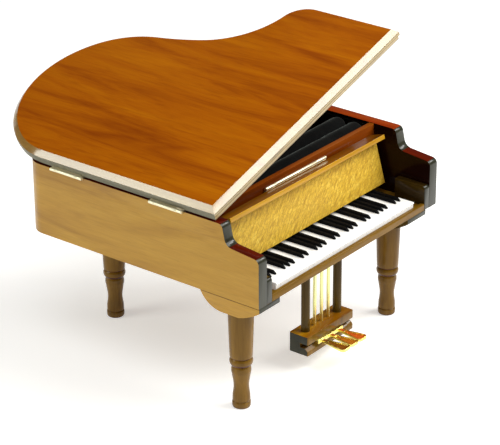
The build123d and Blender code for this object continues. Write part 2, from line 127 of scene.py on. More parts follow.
def cloud(tree, where, scale, detail=3.0, rough=0.55, twist=0.0):
    return add(tree, "ShaderNodeTexNoise", {"Vector": where, "Scale": scale, "Detail": detail,
                                            "Roughness": rough, "Distortion": twist}).outputs[0]


def spread(tree, value, low, high, to_low=0.0, to_high=1.0):
    return add(tree, "ShaderNodeMapRange", {"Value": value, "From Min": low, "From Max": high,
                                            "To Min": to_low, "To Max": to_high}).outputs[0]


def tones(tree, value, stops):
    """A colour ramp with (place, colour) stops."""
    ramp = add(tree, "ShaderNodeValToRGB", {"Fac": value})
    points = ramp.color_ramp.elements
    while len(points) < len(stops):
        points.new(0.5)
    for point, (where, colour) in zip(points, stops):
        point.position = where
        point.color = (*colour, 1)
    return ramp.outputs[0]


def mix(tree, share, first, second, blend="MIX"):
    node = add(tree, "ShaderNodeMix", data_type="RGBA", blend_type=blend)
    put(tree, node, 0, share)
    for key, value in ((6, first), (7, second)):
        put(tree, node, key, value if isinstance(value, bpy.types.NodeSocket) else (*value, 1))
    return node.outputs[2]


def relief(tree, height, strength, depth, below=None):
    inputs = {"Height": height, "Strength": strength, "Distance": depth}
    if below is not None:
        inputs["Normal"] = below
    return add(tree, "ShaderNodeBump", inputs).outputs[0]


# how much the figure is drawn out along the grain; "level" runs round the bent rim
STRETCH = {"x": (0.1, 1, 1), "y": (1, 0.1, 1), "z": (1, 1, 0.1), "level": (0.12, 0.12, 1)}


def lacquered_wood(name, dark, middle, light, grain="y", figure=70.0, streaks=0.55, gloss=0.3,
                   coat=1.0, coat_ior=1.5, coat_rough=0.06, fibre=0.35, bare=0.1):
    """Stained wood under clear lacquer: clouds of tone, short dark streaks, fine fibres and pores."""
    made, tree, shader = material(name)
    along = place(tree, STRETCH[grain])
    fine = place(tree, tuple(0.35 * share if share < 1 else 1 for share in STRETCH[grain]))
    slow = cloud(tree, along, figure, 4, 0.6, 0.8)
    streak = cloud(tree, along, figure * 4.2, 4, 0.62, 0.4)
    fibres = cloud(tree, fine, figure * 26, 2, 0.6)
    pores = cloud(tree, fine, figure * 42, 1, 0.4)
    colour = tones(tree, slow, [(0.3, dark), (0.5, middle), (0.72, light)])
    mark = spread(tree, streak, 0.5, 0.72, 0, streaks)
    colour = mix(tree, mark, colour, dark)
    shade = tones(tree, fibres, [(0.3, (0.72, 0.7, 0.68)), (0.6, (1, 1, 1))])
    colour = mix(tree, fibre, colour, shade, "MULTIPLY")
    pit = spread(tree, pores, 0.66, 0.74, 0, 0.5 * fibre)
    colour = mix(tree, pit, colour, tuple(0.35 * c for c in dark))
    put(tree, shader, "Base Color", colour)
    put(tree, shader, "Roughness", spread(tree, slow, 0.3, 0.7, gloss, gloss + 0.12))
    shader.inputs["Specular IOR Level"].default_value = bare
    shader.inputs["Coat Weight"].default_value = coat
    shader.inputs["Coat IOR"].default_value = coat_ior
    shader.inputs["Coat Roughness"].default_value = coat_rough
    put(tree, shader, "Normal", relief(tree, fibres, 0.25, 0.00008))
    put(tree, shader, "Coat Normal", relief(tree, cloud(tree, place(tree), 90, 2), 0.04, 0.0005))
    return made


def coarse_veneer(name):
    """Golden, open-grained veneer whose short strokes run up to the right, in satin lacquer."""
    made, tree, shader = material(name)
    turned = place(tree, (0.13, 1, 1), (0, radians(42), 0))
    fine = place(tree, (0.25, 1, 1), (0, radians(46), 0))
    strokes = cloud(tree, turned, 700, 3, 0.65, 0.5)
    flecks = cloud(tree, fine, 1900, 2, 0.6)
    crackle = add(tree, "ShaderNodeTexVoronoi", {"Vector": place(tree, (0.45, 1, 1), (0, radians(30), 0)),
                                                 "Scale": 420.0}, feature="DISTANCE_TO_EDGE").outputs[0]
    slow = cloud(tree, place(tree), 30, 2)
    colour = tones(tree, strokes, [(0.3, (0.34, 0.18, 0.01)), (0.45, (0.62, 0.37, 0.025)),
                                   (0.57, (0.78, 0.51, 0.045)), (0.72, (0.92, 0.7, 0.12))])
    crack = spread(tree, crackle, 0.0, 0.09, 0.55, 0.0)
    colour = mix(tree, crack, colour, (0.4, 0.23, 0.02))
    fleck = spread(tree, flecks, 0.5, 0.64, 0, 0.6)
    colour = mix(tree, fleck, colour, (0.4, 0.23, 0.02))
    colour = mix(tree, spread(tree, slow, 0.35, 0.7, 0, 0.3), colour, (0.52, 0.3, 0.03))
    put(tree, shader, "Base Color", colour)
    put(tree, shader, "Roughness", spread(tree, strokes, 0.3, 0.7, 0.42, 0.6))
    shader.inputs["Specular IOR Level"].default_value = 0.25
    shader.inputs["Coat Weight"].default_value = 0.15
    shader.inputs["Coat Roughness"].default_value = 0.3
    first = relief(tree, strokes, 0.8, 0.0006)
    second = relief(tree, crackle, 0.4, 0.0004, first)
    put(tree, shader, "Normal", relief(tree, flecks, 0.3, 0.0002, second))
    return made


def lid_levels():
    """The heights of the lid's underside and top, measured square to the lid."""
    level = Matrix.Rotation(LID_TILT, 3, "Y")
    heights = [(level @ vert.co).z for vert in NODES["lid_board"].data.vertices]
    return min(heights), max(heights)


def banded_edge(name):
    """The lid's front edge below its bevel, in tones by height: a tan foot, a dark groove of painted
    shade at the foot's step and a gold band of painted highlight under the bevel.
    """
    made, tree, shader = material(name)
    low, high = lid_levels()
    spot = place(tree, (1, 1, 1), (0, LID_TILT, 0))
    height = add(tree, "ShaderNodeSeparateXYZ", {"Vector": spot}).outputs["Z"]
    streaks = cloud(tree, place(tree, (0.05, 1, 1), (0, LID_TILT, 0)), 700, 3, 0.6)
    wander = spread(tree, streaks, 0.3, 0.7, -0.0002, 0.0002)
    height = add(tree, "ShaderNodeMath", {0: height, 1: wander}, operation="ADD").outputs[0]
    bands = spread(tree, height, low, high - LID_BEVEL)
    # the dark stop at 0.56 is painted shade in the foot's step; the pale stop at 0.86 is a painted
    # highlight
    colour = tones(tree, bands, [(0.0, (0.2, 0.13, 0.05)), (0.25, (0.5, 0.38, 0.18)),
                                 (0.46, (0.3, 0.19, 0.06)), (0.56, (0.03, 0.016, 0.004)),
                                 (0.66, (0.36, 0.24, 0.08)), (0.86, (0.5, 0.4, 0.2)),
                                 (0.98, (0.1, 0.07, 0.025))])
    colour = mix(tree, spread(tree, streaks, 0.5, 0.7, 0, 0.5), colour, (0.06, 0.035, 0.01))
    put(tree, shader, "Base Color", colour)
    shader.inputs["Roughness"].default_value = 0.4
    shader.inputs["Specular IOR Level"].default_value = 0.2
    shader.inputs["Coat Weight"].default_value = 0.6
    shader.inputs["Coat Roughness"].default_value = 0.2
    put(tree, shader, "Normal", relief(tree, streaks, 0.3, 0.0002))
    return made


def metal(name, colour, rough, tarnish, stained=0.7, scratch=0.12, metallic=1.0):
    """Brass with fine scratches and clouds of tarnish; it is made less metallic where its colour is a
    painted reflection.
    """
    made, tree, shader = material(name)
    marks = cloud(tree, place(tree, (0.08, 1, 1), (0, 0, radians(20))), 2600, 2)
    stain = cloud(tree, place(tree), 260, 3)
    share = spread(tree, stain, 0.45, 0.8, 0, stained)
    put(tree, shader, "Base Color", mix(tree, share, colour, tarnish))
    put(tree, shader, "Roughness", spread(tree, marks, 0.3, 0.7, rough, rough + 0.14))
    shader.inputs["Metallic"].default_value = metallic
    put(tree, shader, "Normal", relief(tree, marks, scratch, 0.00005))
    return made


def plastic(name, colour, other, rough, coat, bare=0.5, glow=0.0):
    """Moulded plastic with faint flow clouds and a soft polished skin; any emission is painted light."""
    made, tree, shader = material(name)
    flow = cloud(tree, place(tree), 140, 3)
    skin = cloud(tree, place(tree), 1500, 2)
    put(tree, shader, "Base Color", mix(tree, spread(tree, flow, 0.35, 0.7), colour, other))
    put(tree, shader, "Roughness", spread(tree, flow, 0.3, 0.7, rough, rough + 0.08))
    shader.inputs["Specular IOR Level"].default_value = bare
    shader.inputs["Coat Weight"].default_value = coat
    shader.inputs["Coat Roughness"].default_value = 0.08
    # emission makes the plastic shine though it is no lamp: painted light
    shader.inputs["Emission Color"].default_value = (1, 1, 1, 1)
    shader.inputs["Emission Strength"].default_value = glow
    put(tree, shader, "Normal", relief(tree, skin, 0.03, 0.0001))
    return made


def pile(name, colour, lit, scale=900.0, sheen=0.3):
    """Velvet or felt: a short nap whose brushing leaves lighter patches of painted sheen, with a sheen at
    its edges.
    """
    made, tree, shader = material(name)
    brushed_nap_and_sheen = cloud(tree, place(tree), 85, 3, 0.6, 1.0)
    nap = cloud(tree, place(tree), scale, 2, 0.7)
    tone = mix(tree, spread(tree, brushed_nap_and_sheen, 0.35, 0.75, 0, 0.8), colour, lit)
    put(tree, shader, "Base Color", mix(tree, spread(tree, nap, 0.3, 0.7, 0, 0.45), tone, colour))
    shader.inputs["Roughness"].default_value = 0.95
    shader.inputs["Specular IOR Level"].default_value = 0.1
    shader.inputs["Sheen Weight"].default_value = sheen
    shader.inputs["Sheen Roughness"].default_value = 0.35
    shader.inputs["Sheen Tint"].default_value = (0.55, 0.62, 0.58, 1)
    first = relief(tree, brushed_nap_and_sheen, 0.3, 0.0006)
    put(tree, shader, "Normal", relief(tree, nap, 0.6, 0.0003, first))
    return made


LOOK = {
    # the sides: the rim's wood drawn paler and greyer, a painted reflection of the floor
    "side": lacquered_wood(
        "spine_side_wood", (0.32, 0.145, 0.010), (0.46, 0.24, 0.021), (0.53, 0.295, 0.034),
        grain="level", figure=60, streaks=0.2, gloss=0.38, coat=0.6, coat_rough=0.15),
    # a dark glue line under each arm, widened into painted shadow of the step between arm and block
    "seam": lacquered_wood(
        "block_seam_wood", (0.07, 0.03, 0.003), (0.14, 0.065, 0.006), (0.2, 0.1, 0.01), grain="level",
        figure=60, streaks=0.3, gloss=0.5, coat=0.2),
    "top": lacquered_wood(
        "rim_top_wood", (0.2, 0.018, 0.0005), (0.31, 0.034, 0.0008), (0.38, 0.055, 0.001), figure=60,
        streaks=0.3, coat=0.6, coat_ior=1.3, bare=0.02),
    # the arms' and spine's tops: the rim's top wood darkened as painted shade from the lid
    "arm_top": lacquered_wood(
        "arm_top_wood", (0.05, 0.003, 0.0005), (0.085, 0.005, 0.0008), (0.12, 0.01, 0.001), figure=60,
        streaks=0.3, coat=0.3, coat_ior=1.3, bare=0.02),
    # near-black painted shade for faces inside the case that the lid keeps from the light
    "inner": lacquered_wood(
        "rim_inner_wood", (0.005, 0.001, 0.0004), (0.008, 0.0012, 0.0005), (0.012, 0.002, 0.0008),
        figure=60, streaks=0.3, coat=0.6, coat_ior=1.25, bare=0.02),
    # faces turned to the front: darker end grain, whose grey-green is partly painted shade and a painted
    # grey reflection of the floor
    "end": lacquered_wood(
        "arm_end_wood", (0.014, 0.014, 0.007), (0.024, 0.024, 0.013), (0.036, 0.036, 0.02), grain="z",
        figure=70, streaks=0.3, coat=0.45, coat_ior=1.42, coat_rough=0.1),
    "liner": lacquered_wood(
        "liner_wood", (0.02, 0.01, 0.002), (0.045, 0.026, 0.004), (0.08, 0.048, 0.006), figure=70,
        streaks=0.3, coat=0.5, coat_ior=1.3, bare=0.02),
    "slip": lacquered_wood(
        "key_slip_wood", (0.09, 0.04, 0.002), (0.18, 0.09, 0.007), (0.26, 0.14, 0.016), grain="x",
        figure=70, streaks=0.5, coat=0.25, coat_ior=1.35, bare=0.02),
    "rail": lacquered_wood(
        "belly_rail_wood", (0.12, 0.02, 0.0008), (0.24, 0.05, 0.0015), (0.34, 0.09, 0.003), grain="x",
        figure=60, streaks=0.35, coat=0.5, coat_ior=1.3, bare=0.02),
    # the rail's top, drawn lighter than its front as painted light
    "rail_edge": lacquered_wood(
        "belly_rail_edge_wood", (0.2, 0.035, 0.001), (0.3, 0.065, 0.002), (0.42, 0.11, 0.005),
        grain="x", figure=70, streaks=0.3, coat=0.5, coat_ior=1.3, bare=0.02),
    # a painted highlight along the rail's eased arris
    "rail_line": lacquered_wood(
        "belly_rail_arris_wood", (0.5, 0.16, 0.012), (0.72, 0.28, 0.03), (0.85, 0.4, 0.06), grain="x",
        figure=70, streaks=0.3, coat=0.5),
    "lip": lacquered_wood(
        "fallboard_lip_wood", (0.13, 0.038, 0.001), (0.26, 0.095, 0.002), (0.38, 0.165, 0.008),
        grain="x", figure=60, streaks=0.4, coat=0.5, coat_ior=1.3, bare=0.02),
    # the lip's front and ends; on its eased arris this lighter wood is a painted highlight line
    "lip_front": lacquered_wood(
        "fallboard_lip_front_wood", (0.34, 0.16, 0.008), (0.5, 0.255, 0.012), (0.6, 0.34, 0.024),
        grain="x", figure=70, streaks=0.3, coat=0.5, coat_ior=1.35),
    "veneer": coarse_veneer("fallboard_veneer"),
    "lid": lacquered_wood(
        "lid_wood", (0.24, 0.045, 0.0006), (0.38, 0.094, 0.0008), (0.46, 0.135, 0.0012), figure=64,
        streaks=0.45, coat=0.6, coat_ior=1.28, gloss=0.34, coat_rough=0.04, bare=0.01, fibre=0.3),
    # the bevel: the lid's wood drawn paler and greyer, a painted reflection beside its real coat
    "bevel": lacquered_wood(
        "lid_bevel_wood", (0.22, 0.10, 0.01), (0.32, 0.17, 0.028), (0.42, 0.26, 0.06), figure=60,
        streaks=0.2, coat_ior=1.9, coat_rough=0.14),
    # the lid's side edges: end grain whose grey is a painted reflection of the floor
    "lid_edge": lacquered_wood(
        "lid_edge_wood", (0.11, 0.10, 0.065), (0.18, 0.168, 0.115), (0.24, 0.228, 0.165), figure=60,
        streaks=0.25, gloss=0.5, coat=0.5, coat_ior=1.35, coat_rough=0.3),
    # the lid's front edge, with painted light and shade by height
    "lid_front": banded_edge("lid_front_wood"),
    "leg": lacquered_wood(
        "leg_wood", (0.085, 0.038, 0.003), (0.165, 0.082, 0.008), (0.24, 0.125, 0.016), grain="z",
        figure=80, streaks=0.35, coat=0.6, coat_ior=1.33, bare=0.05),
    # the undersides of the legs' rings and flares, darkened as painted shade
    "leg_dark": lacquered_wood(
        "leg_ring_wood", (0.03, 0.005, 0.0005), (0.06, 0.012, 0.001), (0.1, 0.03, 0.003), grain="z",
        figure=80, streaks=0.3, coat=0.6, coat_ior=1.33),
    "post": lacquered_wood(
        "lyre_post_wood", (0.035, 0.017, 0.002), (0.074, 0.042, 0.004), (0.11, 0.065, 0.008), grain="z",
        figure=90, streaks=0.3, coat=0.5, coat_ior=1.3, bare=0.05),
    # the lyre base's top, drawn lighter than its front and ends as painted light
    "base_top": lacquered_wood(
        "lyre_base_top_wood", (0.14, 0.035, 0.001), (0.36, 0.145, 0.002), (0.55, 0.29, 0.008),
        grain="x", figure=70, streaks=0.5, coat=0.8, coat_ior=1.4),
    "brass": metal("hinge_brass", (0.95, 0.9, 0.66), 0.42, (0.8, 0.72, 0.45), 0.4, 0.05),
    "rod": metal("lyre_rod_brass", (0.9, 0.88, 0.4), 0.25, (0.75, 0.7, 0.25), 0.25, 0.02),
    "pedal": metal("pedal_brass", (0.97, 0.86, 0.28), 0.16, (0.85, 0.65, 0.12), 0.5),
    # the pedals' dishes, each coloured with its own painted reflection
    "dish_bass": metal(
        "pedal_dish_bass_brass", (0.34, 0.11, 0.006), 0.2, (0.2, 0.04, 0.004), metallic=0.45),
    "dish_middle": metal(
        "pedal_dish_middle_brass", (0.7, 0.22, 0.01), 0.2, (0.45, 0.1, 0.006), metallic=0.45),
    "dish_treble": metal(
        "pedal_dish_treble_brass", (0.95, 0.17, 0.012), 0.22, (0.75, 0.12, 0.008), metallic=0.45),
    # the white keys emit a faint light: painted light, as they are no lamp
    "white": plastic(
        "white_key_plastic", (0.965, 0.97, 0.965), (0.93, 0.935, 0.925), 0.25, 0.4, glow=0.1),
    "black": plastic(
        "black_key_plastic", (0.003, 0.003, 0.0034), (0.005, 0.005, 0.0055), 0.6, 0.0, 0.05),
    # velvet and felt: the second colour is painted sheen in patches
    "velvet": pile("black_velvet", (0.0015, 0.0016, 0.0018), (0.007, 0.008, 0.008)),
    "felt": pile("bumper_felt", (0.05, 0.03, 0.02), (0.08, 0.05, 0.03), 1400, 0.3),
}


# ---------------------------------------------------------------- mesh helpers

def merged_copy(node):
    """The node's mesh with its doubles merged and its flat facets joined."""
    bm = bmesh.new()
    bm.from_mesh(NODES[node].data)
    bmesh.ops.remove_doubles(bm, verts=bm.verts, dist=2e-6)
    bmesh.ops.dissolve_limit(bm, angle_limit=radians(0.5), verts=bm.verts, edges=bm.edges)
    return bm


def to_object(name, bm):
    """An object in the scene with the working mesh's shape; the working mesh is freed."""
    mesh = bpy.data.meshes.new(name)
    bm.to_mesh(mesh)
    bm.free()
    made = bpy.data.objects.new(name, mesh)
    SCENE.collection.objects.link(made)
    return made


def bake_modifiers(obj):
    """Turn what the modifiers make into the object's plain mesh, and take them off."""
    graph = bpy.context.evaluated_depsgraph_get()
    graph.update()
    mesh = bpy.data.meshes.new_from_object(obj.evaluated_get(graph))
    obj.modifiers.clear()
    obj.data = mesh
    mesh.name = obj.name
    return obj


def soften(obj, width, segments=2, angle=32.0):
    """Round the sharp edges, with normals that keep the flats flat."""
    for face in obj.data.polygons:
        face.use_smooth = True
    bevel = obj.modifiers.new("edges", "BEVEL")
    bevel.width = width * MM
    bevel.segments = segments
    bevel.limit_method = "ANGLE"
    bevel.angle_limit = radians(angle)
    bevel.harden_normals = True
    bevel.miter_outer = "MITER_ARC"
    return bake_modifiers(obj)


def smooth(obj, angle):
    """Smooth shading, with creases where faces meet at more than the angle."""
    for face in obj.data.polygons:
        face.use_smooth = True
    obj.data.set_sharp_from_angle(angle=radians(angle))
    return obj


def dress(obj, looks, pick=None):
    """Give the piece its looks; pick(centre, normal) gives each face's place in the list."""
    obj.data.materials.clear()
    for look in looks:
        obj.data.materials.append(LOOK[look])
    for face in obj.data.polygons:
        face.material_index = pick(face.center, face.normal) if pick else 0
    return obj


def settle(obj, body, slot, *stands_for):
    """The piece rides on its body and stands for its CAD nodes; slot is not used."""
    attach(obj, body)
    if stands_for:
        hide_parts(*stands_for)
    return obj


def refined(node, width, looks, slot, body="case", pick=None, segments=2, angle=32.0, cut=None):
    """A copy of a node with softened edges and its own looks; cut is a plane that divides faces."""
    bm = merged_copy(node)
    if cut is not None:
        bmesh.ops.bisect_plane(bm, geom=bm.verts[:] + bm.edges[:] + bm.faces[:], dist=1e-7,
                               plane_co=cut[0], plane_no=cut[1])
    obj = soften(to_object(node + "_finished", bm), width, segments, angle)
    return settle(dress(obj, looks, pick), body, slot, node)


def turned(name, profile, centre, looks, slot, node, steps=72, pick=None):
    """A turned piece: profile is (radius, height) in millimetres, from the bottom up."""
    bm = bmesh.new()
    rings = []
    for radius, height in profile:
        if radius == 0:
            rings.append([bm.verts.new((centre.x, centre.y, height * MM))])
            continue
        rings.append([bm.verts.new((centre.x + radius * MM * cos(tau * k / steps),
                                    centre.y + radius * MM * sin(tau * k / steps), height * MM))
                      for k in range(steps)])
    for low, high in zip(rings, rings[1:]):
        for k in range(steps):
            corners = [low[k % len(low)], low[(k + 1) % len(low)],
                       high[(k + 1) % len(high)], high[k % len(high)]]
            bm.faces.new(list(dict.fromkeys(corners)))
    bmesh.ops.recalc_face_normals(bm, faces=bm.faces)
    obj = smooth(to_object(name, bm), 50)
    return settle(dress(obj, looks, pick), "case", slot, node)


def arc_points(first, through, last, count):
    """Points on the circle through three points, the last one included."""
    (x1, y1), (x2, y2), (x3, y3) = first, through, last
    d = 2 * (x1 * (y2 - y3) + x2 * (y3 - y1) + x3 * (y1 - y2))
    s1, s2, s3 = x1 * x1 + y1 * y1, x2 * x2 + y2 * y2, x3 * x3 + y3 * y3
    cx = (s1 * (y2 - y3) + s2 * (y3 - y1) + s3 * (y1 - y2)) / d
    cy = (s1 * (x3 - x2) + s2 * (x1 - x3) + s3 * (x2 - x1)) / d
    start, end = Vector((x1 - cx, y1 - cy)), Vector((x3 - cx, y3 - cy))
    sweep = end.angle_signed(start)
    points = []
    for k in range(1, count + 1):
        a = sweep * k / count
        points.append((cx + start.x * cos(a) - start.y * sin(a),
                       cy + start.x * sin(a) + start.y * cos(a)))
    return points


def middle(node):
    """The middle of a node's box."""
    low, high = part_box(node)
    return (low + high) / 2


# ---------------------------------------------------------------- case

def rim_face(centre, normal):
    """0 outer and inner sides, paler with a painted reflection of the floor; 1 top; 2 arm ends, dark
    partly as painted shade; 3 arms' inner faces, near-black painted shade; 4 the arms' and spine's tops,
    darkened as painted shade.
    """
    low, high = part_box("rim")
    from_front = centre.y - low.y
    if normal.y < -0.25 and normal.z < 0.93 and from_front < ARM_ZONE:
        return 2
    if normal.z > 0.6:
        return 4 if centre.z < high.z - ARM_DROP or centre.x < low.x + SPINE_WALL else 1
    between_arms = low.x + WALL_SKIN < centre.x < high.x - WALL_SKIN
    if between_arms and abs(normal.x) > 0.9 and from_front < KEY_WELL:
        return 3
    return 0


def seam_height(side):
    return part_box("leg_block_" + side)[1].z - BLOCK_SEAM


def block_face(centre, normal):
    """0 outer side, paler with a painted reflection of the floor; 1 front, dark partly as painted shade;
    2 the seam under the arm, a glue line with painted shadow; 3 the inner side and the underside, in a
    darker wood as painted shade.
    """
    if normal.y < -0.5:
        return 1
    if normal.z < -0.5 or normal.x * centre.x < -0.5 * abs(centre.x):
        return 3
    return 2 if centre.z > seam_height("bass") else 0


def make_case():
    refined("rim", RIM_EASE, ["side", "top", "end", "inner", "arm_top"], "case_wood", pick=rim_face,
            segments=3, angle=25, cut=((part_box("rim")[0].x + SPINE_WALL, 0, 0), (1, 0, 0)))
    for side in ("bass", "treble"):
        # the cheeks' fronts take the end wood, partly painted shade
        refined("cheek_" + side, WOOD_EASE, ["liner", "end"], "case_wood",
                pick=lambda centre, normal: 1 if normal.y < -0.3 else 0)
        refined("leg_block_" + side, BLOCK_EASE, ["side", "end", "seam", "post"], "case_wood",
                pick=block_face, cut=((0, 0, seam_height(side)), UP))
    refined("leg_block_rear", BOARD_EASE, ["leg"], "case_wood")
    refined("key_slip", BOARD_EASE, ["slip"], "case_wood")
    refined("key_bed", BOARD_EASE, ["slip"], "case_wood")
    # the rail's top takes painted light and its eased arris a painted highlight
    refined("belly_rail", BOARD_EASE, ["rail", "rail_edge", "rail_line"], "case_wood",
            pick=lambda centre, normal: 1 if normal.z > 0.97 else 2 if normal.z > 0.2 else 0)
    # the rests take the near-black painted shade wood
    refined("fallboard_rests", BOARD_EASE, ["inner"], "case_wood")
    refined("bottom_board", HIDDEN_EASE, ["leg"], "case_wood")
    refined("lid_bumpers", FINE_EASE, ["felt"], "felt")


# ---------------------------------------------------------------- legs and lyre

def leg_profile(top, spigot_top):
    """A front leg from its foot up: flared foot, waisted neck, bead, collar, shaft and spigot."""
    neck = []
    for k in range(0, 13):
        t = k / 12
        ease = t ** 2 * (3 - 2 * t)
        waist = 0.85 * sin(pi * t ** 0.92) ** 1.3
        neck.append((5.85 * (1 - ease) + 6.2 * ease - waist, 9.3 + 15.3 * t))
    bead = arc_points((6.2, 24.6), (6.65, 27.6), (6.0, 30.6), 8)
    collar = arc_points((6.0, 30.6), (7.8, 33.8), (6.9, 36.6), 10)
    foot = [(0, 0), (4.9, 0), (5.3, 0.1), (5.9, 0.5), (6.1, 0.95), (6.2, 2.4), (6.15, 4.0), (5.95, 4.5),
            (5.6, 4.75), (5.62, 4.95), (5.95, 5.3), (6.0, 5.6)]
    shaft = [(6.95, 36.75), (7.45, 37.1), (7.6, 37.5), (7.75, 42), (8.6, 69.0), (8.6, top - 0.3),
             (8.4, top), (3.5, top), (3.5, spigot_top), (0, spigot_top)]
    return foot + neck + bead + collar + shaft


def ring_face(centre, normal):
    """0 the leg, 1 the undersides of its rings and flares, darkened as painted shade."""
    return 1 if -0.95 < normal.z < -0.3 else 0


def make_legs():
    for node in ("leg_front_bass", "leg_front_treble", "leg_rear"):
        spigot_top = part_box(node)[1].z / MM
        profile = leg_profile(spigot_top - SPIGOT_LENGTH, spigot_top)
        turned(node + "_finished", profile, middle(node), ["leg", "leg_dark"], "leg_wood", node,
               pick=ring_face)


def base_face(centre, normal):
    """0 ends and back, dark partly as painted shade; 1 top, lighter as painted light; 2 front and the
    slot.
    """
    top_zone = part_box("lyre_base")[1].z - 1 * MM
    if normal.z > 0.6 and centre.z > top_zone:
        return 1
    return 2 if normal.y < -0.3 or (abs(normal.z) > 0.2 and centre.z < top_zone) else 0


def pedal_face(centre, normal):
    """0 brass, then the dishes of the bass, middle and treble pedals, each with its own painted
    reflection.
    """
    low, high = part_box("pedals")
    if normal.z < 0.95 or centre.z > high.z - 0.4 * MM or centre.y > low.y + DISH_LENGTH:
        return 0
    from_middle = centre.x - (low.x + high.x) / 2
    return 2 if abs(from_middle) < PEDAL_PITCH / 2 else 1 if from_middle < 0 else 3


def make_lyre():
    for node in ("lyre_post_bass", "lyre_post_treble"):
        low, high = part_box(node)
        bottom, top = low.z / MM, high.z / MM
        profile = [(0, bottom), (2.9, bottom), (3.0, bottom + 0.2), (3.0, bottom + 3.4),
                   (2.9, bottom + 3.6), (2.98, bottom + 4.0), (3.0, bottom + 6), (3.0, top - 1),
                   (2.92, top), (0, top)]
        turned(node + "_finished", profile, middle(node), ["post"], "lyre_wood", node, steps=56)
    refined("lyre_base", WOOD_EASE, ["end", "base_top", "leg"], "lyre_wood", pick=base_face, segments=3)
    refined("lyre_rods", FINE_EASE, ["rod"], "brass", angle=45)
    refined("pedals", PEDAL_EASE, ["pedal", "dish_bass", "dish_middle", "dish_treble"], "brass",
            pick=pedal_face, angle=40)


# ---------------------------------------------------------------- repeats

def tree_with(name, inputs):
    """A Geometry Nodes tree with named inputs; gives the tree, its two ends and the inputs' keys."""
    tree = bpy.data.node_groups.new(name, "GeometryNodeTree")
    tree.interface.new_socket(name="Geometry", in_out="OUTPUT", socket_type="NodeSocketGeometry")
    tree.interface.new_socket(name="Geometry", in_out="INPUT", socket_type="NodeSocketGeometry")
    keys = {}
    for label, kind in inputs:
        keys[label] = tree.interface.new_socket(name=label, in_out="INPUT", socket_type=kind).identifier
    source, out = tree.nodes.new("NodeGroupInput"), tree.nodes.new("NodeGroupOutput")
    return tree, source, out, keys


def finish_tree(tree, source, out, points):
    """Puts the blank on the points, makes it real and gives it its finish."""
    blank = add(tree, "GeometryNodeObjectInfo", {"Object": source.outputs["Blank"]})
    turn = add(tree, "FunctionNodeEulerToRotation", {"Euler": source.outputs["Turn"]})
    put_on = add(tree, "GeometryNodeInstanceOnPoints",
                 {"Points": points, "Instance": blank.outputs["Geometry"], "Rotation": turn.outputs[0]})
    real = add(tree, "GeometryNodeRealizeInstances", {"Geometry": put_on.outputs[0]})
    finish = add(tree, "GeometryNodeSetMaterial",
                 {"Geometry": real.outputs[0], "Material": source.outputs["Finish"]})
    tree.links.new(finish.outputs[0], out.inputs[0])


COMMON = [("Blank", "NodeSocketObject"), ("Finish", "NodeSocketMaterial"), ("Turn", "NodeSocketVector")]


def key_row_tree():
    """Keys in a row at an even pitch; Sharps leaves out the gaps E-F and B-C of each octave."""
    tree, source, out, keys = tree_with("key_row", [
        ("Count", "NodeSocketInt"), ("Start", "NodeSocketVector"), ("Pitch", "NodeSocketVector"),
        ("Sharps", "NodeSocketBool"), *COMMON])
    line = add(tree, "GeometryNodeMeshLine", {"Count": source.outputs["Count"],
                                              "Start Location": source.outputs["Start"],
                                              "Offset": source.outputs["Pitch"]})
    index = add(tree, "GeometryNodeInputIndex").outputs[0]
    step = add(tree, "ShaderNodeMath", {0: index, 1: 7.0}, operation="MODULO").outputs[0]
    third = add(tree, "FunctionNodeCompare", {0: step, 1: 2.0}, operation="EQUAL").outputs[0]
    seventh = add(tree, "FunctionNodeCompare", {0: step, 1: 6.0}, operation="EQUAL").outputs[0]
    gap = add(tree, "FunctionNodeBooleanMath", {0: third, 1: seventh}, operation="OR").outputs[0]
    cut = add(tree, "FunctionNodeBooleanMath", {0: gap, 1: source.outputs["Sharps"]},
              operation="AND").outputs[0]
    kept = add(tree, "GeometryNodeDeleteGeometry", {"Geometry": line.outputs[0], "Selection": cut})
    finish_tree(tree, source, out, kept.outputs[0])
    return tree, keys


def fixings_tree():
    """The blank on every point of the mesh that it is given."""
    tree, source, out, keys = tree_with("fixings", COMMON)
    finish_tree(tree, source, out, source.outputs["Geometry"])
    return tree, keys


def run_tree(name, tree, keys, values, points=()):
    """A plain mesh object made by the tree."""
    bm = bmesh.new()
    for point in points:
        bm.verts.new(point)
    obj = to_object(name, bm)
    made = obj.modifiers.new("rows", "NODES")
    made.node_group = tree
    for label, value in values.items():
        made[keys[label]] = value
    return bake_modifiers(obj)


def extruded(profile, half_width):
    """A solid along x from a profile of (y, z) in millimetres."""
    bm = bmesh.new()
    ends = [[bm.verts.new((side * half_width * MM, y * MM, z * MM)) for y, z in profile]
            for side in (-1, 1)]
    bm.faces.new(ends[0])
    bm.faces.new(ends[1])
    for k in range(len(profile)):
        n = (k + 1) % len(profile)
        bm.faces.new((ends[0][k], ends[0][n], ends[1][n], ends[1][k]))
    bmesh.ops.recalc_face_normals(bm, faces=bm.faces)
    return bm


